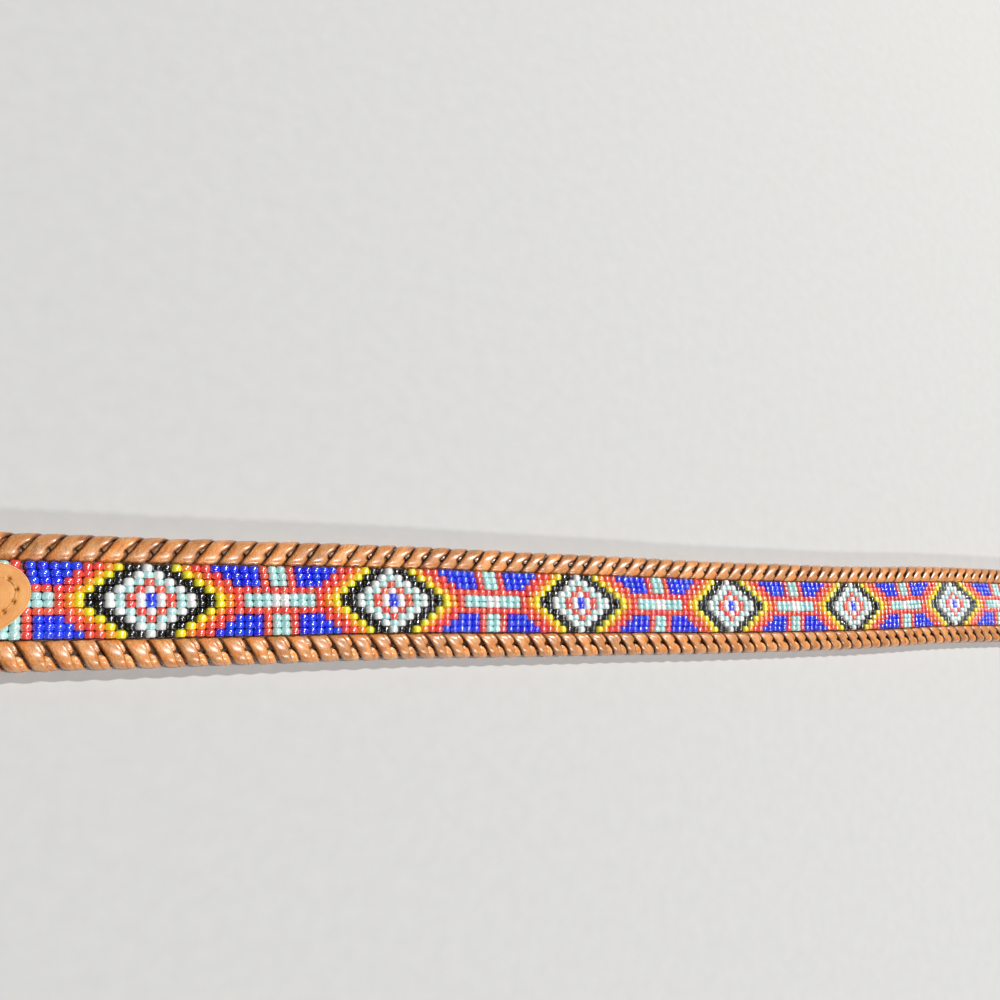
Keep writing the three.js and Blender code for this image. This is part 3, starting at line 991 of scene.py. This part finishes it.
@dataclass
class EdgeLacing:
    """One edge's lacing: broad turns over a second lace that crosses beneath them."""

    lie: Lie
    shelf: GroupShelf
    edge: Edge
    turns: Sequence[LaceTurn]
    overhang: float = 10.0
    pitch: float = 5.4
    slack_at: tuple[tuple[float, float], ...] = ((40.0, 0.0), (120.0, 1.0), (300.0, 1.1), (370.0, 0.7))
    slack_lean: float = 0.22
    gape: float = 0.8
    gape_at: float = 0.27
    gape_width: float = 0.055
    tuck: float = 0.55
    root_dip: float = 0.35
    neck_dip: float = 0.15
    width_spread: float = 0.035
    lean_spread: float = 0.12
    tilt_spread: float = 0.03
    lift_spread: float = 0.03
    place_spread: float = 0.07
    path_points: int = 160
    # Section height below which a point counts as the underside, which the finish paints in shade.
    underside: float = -0.9
    seed: int = 5

    # The way round the edge in section: across the belt and above the ground
    PATH = np.array([
        (8.98, 3.7), (8.98, 4.5), (9.6, 4.98), (10.7, 5.12), (12.0, 5.1), (13.3, 4.72), (14.2, 3.9),
        (14.52, 2.8), (14.45, 1.7), (13.9, 0.85), (12.8, 0.58), (11.2, 0.58), (10.2, 0.62),
    ])
    # The lace across its run: shares of its width on either side and of half its thickness
    SECTION = np.array([
        (-1.0, -0.25), (-0.96, 0.4), (-0.8, 0.8), (-0.34, 1.0), (0.34, 1.0), (0.8, 0.8), (0.96, 0.4),
        (1.0, -0.25), (0.7, -1.0), (-0.7, -1.0),
    ])
    # Shares of the lean, and places where the lace dips, at shares of the way round
    LEAN_OVER = ((0.0, -0.5), (0.06, -0.42), (0.62, 0.5), (1.0, 0.1))
    DIP_AT = (0.0, 0.05, 0.14, 0.8, 1.0)

    def turn_body(self, turn: LaceTurn, slack: float,
                  chance: np.random.Generator) -> tuple[np.ndarray, np.ndarray]:
        """Shapes one turn of lace about its own middle.

        Args:
            turn: How the lace passes over the edge.
            slack: How loose the lacing is there: it leans more and gapes at the notch.
            chance: Source of the small differences between turns.

        Returns:
            Its points and the values that its finish reads.
        """
        whole = resample(self.PATH, self.path_points)
        run = np.linspace(*turn.span, turn.samples)
        even = np.linspace(0, 1, self.path_points)
        path = np.column_stack([np.interp(run, even, whole[:, k]) for k in range(2)])
        along = np.gradient(path, axis=0)
        along /= np.linalg.norm(along, axis=1)[:, None]
        out = np.column_stack([-along[:, 1], along[:, 0]])
        wide = chance.normal(1, self.width_spread)
        gape = self.gape * slack * np.exp(-(((run - self.gape_at) / self.gape_width) ** 2))
        front = (np.interp(run, turn.stations, turn.front_side) - gape) * wide
        back = np.interp(run, turn.stations, turn.back_side) * wide
        leaning = turn.lean * (1 + self.slack_lean * slack) + chance.normal(0, self.lean_spread)
        lean = leaning * np.interp(run, *zip(*self.LEAN_OVER))
        tilt = turn.tilt + chance.normal(0, self.tilt_spread)
        lift = chance.normal(0, self.lift_spread) - turn.inset
        # The turn's tone adds painted shade (below 0) or painted highlight (above 0) to its random tone.
        own = chance.random() + turn.tone
        tuck = self.tuck if turn.span[1] < 1 else 0.0
        share = np.linspace(0, 1, turn.samples)
        dip = np.interp(share, self.DIP_AT, (-self.root_dip - tuck, -self.neck_dip, 0.0, 0.0, -tuck))
        v, h = self.SECTION.T
        offset = np.where(v > 0, v * front[:, None], v * back[:, None])
        height = h * (turn.thickness / 2) + v * tilt + lift + dip[:, None]
        points = np.stack([
            lean[:, None] + offset,
            (path[:, :1] + out[:, :1] * height) * self.edge.value,
            path[:, 1:] + out[:, 1:] * height,
        ], axis=-1)
        # Rim mark: the share across the lace, set to 1 on the underside so that the finish paints shade
        # there.
        rims = np.broadcast_to(np.where(h > self.underside, v, 1.0), offset.shape)
        marks = np.stack([np.full_like(offset, own), rims], axis=-1)
        return points.reshape(-1, 3), marks.reshape(-1, 2)

    def build(self) -> bpy.types.Object:
        """Winds the whole edge.

        Returns:
            The lacing as one piece.
        """
        loom = self.lie.loom
        start = -(loom.end_columns + 0.5) * loom.column_pitch - self.overhang
        end = (loom.last_column + 0.5) * loom.column_pitch + self.overhang
        count = round((end - start) / self.pitch)
        pitch = (end - start) / count
        chance = np.random.default_rng(self.seed + self.edge.value)
        name = f"lacing_{self.edge.name.lower()}"
        pile = MeshPile()
        for number in range(count):
            slack = float(np.interp(start + number * pitch, *zip(*self.slack_at)))
            for turn in self.turns:
                points, marks = self.turn_body(turn, slack, chance)
                spot = start + (number + 0.5 + turn.phase) * pitch
                points[:, 0] += spot + chance.normal(0, self.place_spread)
                pile.add(points, tube_faces(turn.samples, len(self.SECTION), self.edge is Edge.FAR), marks)
        piece = pile.build(f"{name}_turns", self.lie)
        piece.data.materials.append(LaceLeather(f"lace_leather_{self.edge.name.lower()}").mix(self.shelf))
        return settle(piece, "lace", name)


FAR_TURNS = (
    LaceTurn(lean=6.4, phase=0.0, inset=0.0, thickness=1.1, span=(0.0, 1.0), tone=0.0,
             stations=(0.0, 0.14, 0.19, 0.225, 0.27, 0.33, 0.5, 0.7, 1.0),
             back_side=(2.6, 2.7, 2.7, 2.6, 2.6, 2.65, 2.65, 2.6, 2.3),
             front_side=(2.5, 2.55, 2.4, 1.5, 1.5, 2.4, 2.7, 2.8, 2.2), tilt=0.16, samples=24),
    # The under-lace, painted dark by its tone as shade in the notches.
    LaceTurn(lean=-4.0, phase=0.5, inset=1.15, thickness=0.5, span=(0.0, 1.0), tone=-1.6,
             stations=(0.0, 1.0), back_side=(1.6, 1.6), front_side=(1.6, 1.6), tilt=0.0, samples=14),
)
NEAR_TURNS = (
    LaceTurn(lean=5.2, phase=0.0, inset=0.0, thickness=1.1, span=(0.0, 1.0), tone=0.0,
             stations=(0.0, 0.26, 0.3, 0.34, 0.43, 0.6, 1.0), back_side=(2.5, 2.5, 2.5, 2.5, 2.5, 2.4, 2.3),
             front_side=(1.6, 1.5, 1.2, 1.1, 0.75, 0.7, 0.9), tilt=0.08, samples=24),
    LaceTurn(lean=5.2, phase=0.26, inset=0.12, thickness=1.0, span=(0.03, 0.27), tone=0.0,
             stations=(0.0, 0.17, 0.23, 0.27), back_side=(1.3, 1.3, 1.2, 0.9),
             front_side=(1.2, 1.15, 0.9, 0.3), tilt=0.06, samples=12),
    # The crossing lace below the flap, painted lighter by its tone as a highlight.
    LaceTurn(lean=4.4, phase=0.28, inset=0.08, thickness=0.95, span=(0.295, 1.0), tone=0.75,
             stations=(0.295, 0.33, 0.43, 1.0), back_side=(0.4, 0.9, 1.3, 1.3),
             front_side=(0.5, 0.95, 1.1, 1.1), tilt=0.0, samples=20),
)


@dataclass
class StitchedTongue:
    """A tongue of leather over one end of the band, sewn down round its edge."""

    lie: Lie
    shelf: GroupShelf
    node: str
    direction: int
    tip_column: float = 11.05
    length: float = 42.0
    half_width: float = 7.6
    thickness: float = 1.8
    over: float = 6.4
    down: float = 4.1
    band_past: float = 12.2625
    run_down: float = 9.0
    bevel: float = 0.55
    drop: float = 0.4
    seam_inset: float = 2.75
    stitch: float = 2.75
    hole: float = 0.4
    nose: float = 1.1
    far_round: tuple[float, float] = (0.2, 1.9)
    near_round: tuple[float, float] = (0.17, 1.3)
    tail_from: float = 0.93
    tail_narrowing: float = 0.35
    seam_from: float = 2.2
    seam_slack: float = 0.08
    bevel_power: float = 1.5
    pit_power: int = 4
    dip_power: float = 1.5
    step_gap: float = 0.5
    crown: float = 0.10
    pit_depth: float = 0.75
    groove_width: float = 0.5
    groove_depth: float = 0.08
    thread_radius: float = 0.19
    thread_sunk: float = 0.06
    thread_flat: float = 0.28
    thread_sides: int = 8
    stitch_steps: int = 9
    rows: int = 140
    nose_rows: int = 50
    columns: int = 52
    edge_points: int = 160
    seam_points: int = 400
    rim_points: int = 900
    batches: int = 24

    # Shares of the length where the rows of points begin and end, close together at the nose
    TIP_SHARE = 0.0002
    EDGE_ROOTS = (0.05, 1.0)
    NOSE_SHARES = (0.0004, 0.2)
    BODY_SHARES = (0.205, 1.0)
    THREAD_COLOUR = (0.82, 0.42, 0.13)

    def edge_at(self, share: np.ndarray, side: int) -> np.ndarray:
        """Where an edge of the tongue runs: its nose leans to the far side and is fuller there.

        Args:
            share: Shares of the length, from the tip.
            side: 1 for the far edge and -1 for the near one.

        Returns:
            Distances across the belt from the middle line.
        """
        reach, power = self.far_round if side > 0 else self.near_round
        tip = np.clip((reach - share) / reach, 0, 1)
        tail = np.clip((share - self.tail_from) / (1 - self.tail_from), 0, 1)
        narrowed = 1 - self.tail_narrowing * tail**3
        half = self.half_width * np.sqrt(np.maximum(1 - tip**power, 0)) * narrowed
        return self.nose * np.clip(1 - share / self.far_round[0], 0, 1) + side * half

    def level_at(self, run: np.ndarray) -> np.ndarray:
        """Height of the underside, which steps down from the band to the strap.

        Args:
            run: Distances from the tip.

        Returns:
            Heights above the ground.
        """
        low, high = self.band_past + self.step_gap, self.band_past + self.run_down
        return self.over + (self.down - self.over) * eased(np.clip((run - low) / (high - low), 0, 1))

    def outline(self) -> np.ndarray:
        """Draws the plan of the edge from the tail round the tip and back.

        Returns:
            Its points, as distance from the tip and across.
        """
        share = np.concatenate([[self.TIP_SHARE], np.linspace(*self.EDGE_ROOTS, self.edge_points) ** 2])
        far = np.column_stack([share * self.length, self.edge_at(share, 1)])
        near = np.column_stack([share * self.length, self.edge_at(share, -1)])
        return np.vstack([far[::-1], near])

    def seam(self) -> np.ndarray:
        """Spaces the stitch holes evenly along a line inside the edge.

        Returns:
            Their places, as distance from the tip and across.
        """
        edge = resample(self.outline(), self.seam_points)
        along = np.gradient(edge, axis=0)
        along /= np.linalg.norm(along, axis=1)[:, None]
        inner = edge + np.column_stack([-along[:, 1], along[:, 0]]) * self.seam_inset
        inner = inner[(inner[:, 0] > self.seam_from) & (inner[:, 0] < self.length - self.seam_inset)]
        gap = np.linalg.norm(inner[:, None] - edge[None], axis=2).min(axis=1)
        inner = inner[gap > self.seam_inset - self.seam_slack]
        run = np.concatenate([[0], np.cumsum(np.linalg.norm(np.diff(inner, axis=0), axis=1))])
        middle = run[-1] / 2
        count = int((middle - self.stitch / 2) / self.stitch)
        wanted = middle + (np.arange(-count, count + 2) - 0.5) * self.stitch
        wanted = wanted[(wanted >= 0) & (wanted <= run[-1])]
        return np.column_stack([np.interp(wanted, run, inner[:, k]) for k in range(2)])

    def to_belt(self, run: np.ndarray) -> np.ndarray:
        """Turns distances from the tongue's tip into distances along the belt.

        Args:
            run: Distances from the tip.

        Returns:
            Distances from the first diamond's middle.
        """
        loom = self.lie.loom
        tip = -self.tip_column * loom.column_pitch
        if self.direction < 0:
            tip = (loom.diamonds - 1) * loom.repeat * loom.column_pitch - tip
        return tip - self.direction * run

    def build(self) -> list[bpy.types.Object]:
        """Cuts the tongue, presses the seam into it and sews it.

        Returns:
            The tongue and its thread.
        """
        nose = np.linspace(*self.NOSE_SHARES, self.nose_rows)
        share = np.concatenate([nose, np.linspace(*self.BODY_SHARES, self.rows - self.nose_rows)])
        across = np.sin(np.linspace(-1, 1, self.columns) * math.pi / 2)
        run = np.repeat(share * self.length, self.columns)
        far, near = self.edge_at(share, 1)[:, None], self.edge_at(share, -1)[:, None]
        side = (near + (far - near) * (across[None] + 1) / 2).ravel()
        edge = resample(self.outline(), self.rim_points)
        plan = np.column_stack([run, side])
        inside = np.concatenate([np.linalg.norm(part[:, None] - edge[None], axis=2).min(axis=1)
                                 for part in np.array_split(plan, self.batches)])
        inside = np.minimum(inside, self.length - run)
        holes = self.seam()
        dents = np.linalg.norm(plan[:, None] - holes[None], axis=2).min(axis=1)
        slope = np.clip(1 - inside / self.bevel, 0, 1)
        pit = np.exp(-(dents / self.hole) ** self.pit_power)
        groove = np.exp(-((inside - self.seam_inset) / self.groove_width) ** 2) * self.groove_depth
        level = self.level_at(run)
        top = level + self.thickness - self.drop * slope**self.bevel_power - self.pit_depth * pit - groove
        top += self.crown * np.clip(inside / self.half_width, 0, 1)
        along = self.to_belt(run)
        upper = np.column_stack([along, side, top])
        lower = np.column_stack([along, side, level])
        # The second mark is where the finish paints shade into the stitch dents.
        marks = np.column_stack([inside / self.bevel, pit])
        faces = grid_faces(self.rows, self.columns, False)
        every = np.concatenate([faces, faces[:, ::-1] + len(upper), self.rim()])
        pile = MeshPile()
        pile.add(np.concatenate([upper, lower]), every if self.direction > 0 else every[:, ::-1],
                 np.concatenate([marks, np.zeros_like(marks)]))
        piece = pile.build(f"{self.node}_leather", self.lie)
        piece.data.materials.append(TabLeather(f"{self.node}_leather").mix(self.shelf))
        return [settle(piece, "tab_leather", self.node), self.sew(holes)]

    def rim(self) -> np.ndarray:
        """Joins the top to the underside all round.

        Returns:
            Four-sided faces as point numbers.
        """
        rows, columns = self.rows, self.columns
        below = rows * columns
        left = [(r * columns, (r + 1) * columns) for r in range(rows - 1)]
        right = [((r + 1) * columns + columns - 1, r * columns + columns - 1) for r in range(rows - 1)]
        first = [(c + 1, c) for c in range(columns - 1)]
        last = [((rows - 1) * columns + c, (rows - 1) * columns + c + 1) for c in range(columns - 1)]
        pairs = np.array(left + right + first + last)
        return np.column_stack([pairs[:, 0], pairs[:, 1], pairs[:, 1] + below, pairs[:, 0] + below])

    def sew(self, holes: np.ndarray) -> bpy.types.Object:
        """Lays the thread from hole to hole.

        Args:
            holes: Places of the holes.

        Returns:
            The thread as one piece.
        """
        pile = MeshPile()
        steps = np.linspace(0, 1, self.stitch_steps)
        turn = np.arange(self.thread_sides) * 2 * math.pi / self.thread_sides
        ring = self.thread_radius * np.column_stack([np.cos(turn), np.sin(turn)])
        for here, there in zip(holes, holes[1:]):
            line = here + (there - here) * steps[:, None]
            aim = (there - here) / np.linalg.norm(there - here)
            across = np.array([-aim[1], aim[0]])
            dip = np.clip((np.abs(steps - 0.5) - self.thread_flat) / (0.5 - self.thread_flat), 0, 1)
            sewn = self.level_at(line[:, 0]) + self.thickness - self.thread_sunk
            rise = sewn - self.pit_depth * dip**self.dip_power
            rows = []
            for spot, level in zip(line, rise):
                flat = spot + across * ring[:, :1]
                rows.append(np.column_stack([self.to_belt(flat[:, 0]), flat[:, 1], level + ring[:, 1]]))
            pile.add(np.concatenate(rows), tube_faces(len(steps), self.thread_sides, self.direction > 0))
        piece = pile.build(f"{self.node}_thread", self.lie)
        piece.data.materials.append(Thread(f"{self.node}_thread", self.THREAD_COLOUR).mix(self.shelf))
        return settle(piece, "tab_leather")


@dataclass
class FirmPieces:
    """The strap and the buckle, which keep their solids and get their finishes and soft edges."""

    shelf: GroupShelf
    rounding: float = 0.25
    segments: int = 3
    sharp_from: float = 28.0

    def dress(self, node: str, material: bpy.types.Material) -> None:
        """Gives a solid its finish and rounds its edges.

        Args:
            node: The solid's name.
            material: Its finish.
        """
        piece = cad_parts[node]
        piece.data.materials.clear()
        piece.data.materials.append(material)
        soft = piece.modifiers.new("soft_edges", "BEVEL")
        soft.width = self.rounding * MM
        soft.segments = self.segments
        soft.limit_method = "ANGLE"
        soft.angle_limit = math.radians(self.sharp_from)
        soft.harden_normals = False
        LOG.info("%s: dressed", node)

    def build(self) -> None:
        """Dresses both."""
        self.dress("strap", StrapLeather().mix(self.shelf))
        self.dress("buckle", BuckleMetal().mix(self.shelf))


# The studio


@dataclass(frozen=True)
class Lamp:
    """One soft round light: its place from the first diamond and its width, in metres, power and colour."""

    name: str
    spot: tuple[float, float, float]
    size: float
    power: float
    colour: Rgb


LAMPS = (
    Lamp("key", (1.25, 1.15, 1.85), 0.10, 43.0, (1.0, 0.98, 0.95)),
    Lamp("overhead", (0.5, -0.14, 2.7), 0.16, 32.0, (0.97, 0.98, 1.0)),
    Lamp("front_fill", (0.6, -1.65, 1.15), 0.22, 15.0, (1.0, 0.99, 0.97)),
)


@dataclass
class Studio:
    """The floor, the lamps, the glow all round and the camera."""

    lie: Lie
    shelf: GroupShelf
    lens: float = 34.2
    sensor: float = 36.0
    sees_from_to: tuple[float, float] = (0.01, 50.0)
    eye: tuple[float, float, float] = (-46.35, -30.05, 225.04)
    aim: tuple[float, float, float] = (0.5206, 0.2187, -0.8253)
    head: tuple[float, float, float] = (-0.0608, 0.9737, 0.2197)
    bead_level: float = 5.6
    lamps_aim: tuple[float, float, float] = (0.08, 0.0, 0.0)
    reach: float = 6000.0
    pale: tuple[Rgb, Rgb] = ((0.56, 0.56, 0.55), (0.62, 0.62, 0.61))
    glow: Rgb = (0.95, 0.97, 1.0)
    seen_glow: float = 0.68
    soft_glow: float = 0.065
    fade_from_to: tuple[float, float] = (0.75, 2.6)

    def camera(self) -> None:
        """Sets the camera where the photograph was taken from."""
        data = bpy.data.cameras.new("camera")
        data.lens, data.sensor_width = self.lens, self.sensor
        data.clip_start, data.clip_end = self.sees_from_to
        made = bpy.data.objects.new("camera", data)
        bpy.context.scene.collection.objects.link(made)
        back = -Vector(self.aim).normalized()
        side = Vector(self.head).cross(back).normalized()
        faced = Matrix((side, back.cross(side), back)).transposed().to_4x4()
        spot = Vector((self.lie.first_x, self.lie.first_y, self.bead_level)) + Vector(self.eye)
        made.matrix_world = Matrix.Translation(spot * MM) @ faced
        bpy.context.scene.camera = made

    def hang(self, lamp: Lamp) -> None:
        """Hangs one lamp that looks at the photographed stretch.

        Args:
            lamp: The lamp.
        """
        data = bpy.data.lights.new(lamp.name, "AREA")
        data.shape, data.size, data.energy, data.color = "DISK", lamp.size, lamp.power, lamp.colour
        made = bpy.data.objects.new(lamp.name, data)
        bpy.context.scene.collection.objects.link(made)
        base = Vector((self.lie.first_x, self.lie.first_y, 0)) * MM
        made.location = base + Vector(lamp.spot)
        target = base + Vector(self.lamps_aim)
        made.rotation_mode = "QUATERNION"
        made.rotation_quaternion = (target - made.location).to_track_quat("-Z", "Y")

    def floor(self) -> None:
        """Lays the pale floor, which fades into the glow far away."""
        pile = MeshPile()
        spots = np.array([(-1, -1, 0), (1, -1, 0), (1, 1, 0), (-1, 1, 0)]) * self.reach
        pile.add(spots, np.array([[0, 1, 2, 3]]))
        floor = pile.build("floor", None, smooth=False)
        bench = MaterialBench("floor_pale", self.shelf)
        pale = bench.mix(bench.noise(bench.place(), scale=220.0, detail=4.0), *self.pale)
        away = bench.node("ShaderNodeVectorMath", {"operation": "LENGTH"})
        bench.feed(away, 0, bench.place())
        fade = bench.ramp(away.outputs["Value"], *self.fade_from_to)
        bench.shade(Base_Color=bench.mix(fade, pale, BLACK), Roughness=0.85, Emission_Color=self.glow,
                    Emission_Strength=bench.maths("MULTIPLY", fade, self.seen_glow))
        floor.data.materials.append(bench.material)

    def surround(self) -> None:
        """Sets the glow all round, which the camera sees brighter than the belt does."""
        world = bpy.data.worlds.new("studio_glow")
        world.use_nodes = True
        bench = NodeBench(world.node_tree)
        seen = bench.node("ShaderNodeLightPath").outputs["Is Camera Ray"]
        strength = bench.scaled(seen, self.seen_glow - self.soft_glow, self.soft_glow)
        bench.fill(world.node_tree.nodes["Background"], {"Color": self.glow, "Strength": strength})
        bpy.context.scene.world = world

    def build(self) -> None:
        """Sets the whole studio up."""
        self.floor()
        for lamp in LAMPS:
            self.hang(lamp)
        self.surround()
        self.camera()
        bpy.context.scene.view_settings.view_transform = "Standard"


def main() -> None:
    """Builds the belt and the studio."""
    logging.basicConfig(level=logging.INFO, format="%(name)s: %(message)s")
    lie = Lie.from_frame(Loom())
    shelf = GroupShelf()
    Studio(lie, shelf).build()
    Beadwork(lie, shelf).build()
    EdgeLacing(lie, shelf, Edge.FAR, FAR_TURNS).build()
    EdgeLacing(lie, shelf, Edge.NEAR, NEAR_TURNS).build()
    StitchedTongue(lie, shelf, "buckle_tab", 1).build()
    StitchedTongue(lie, shelf, "tip_tab", -1).build()
    FirmPieces(shelf).build()


if __name__ == "__main__":
    main()
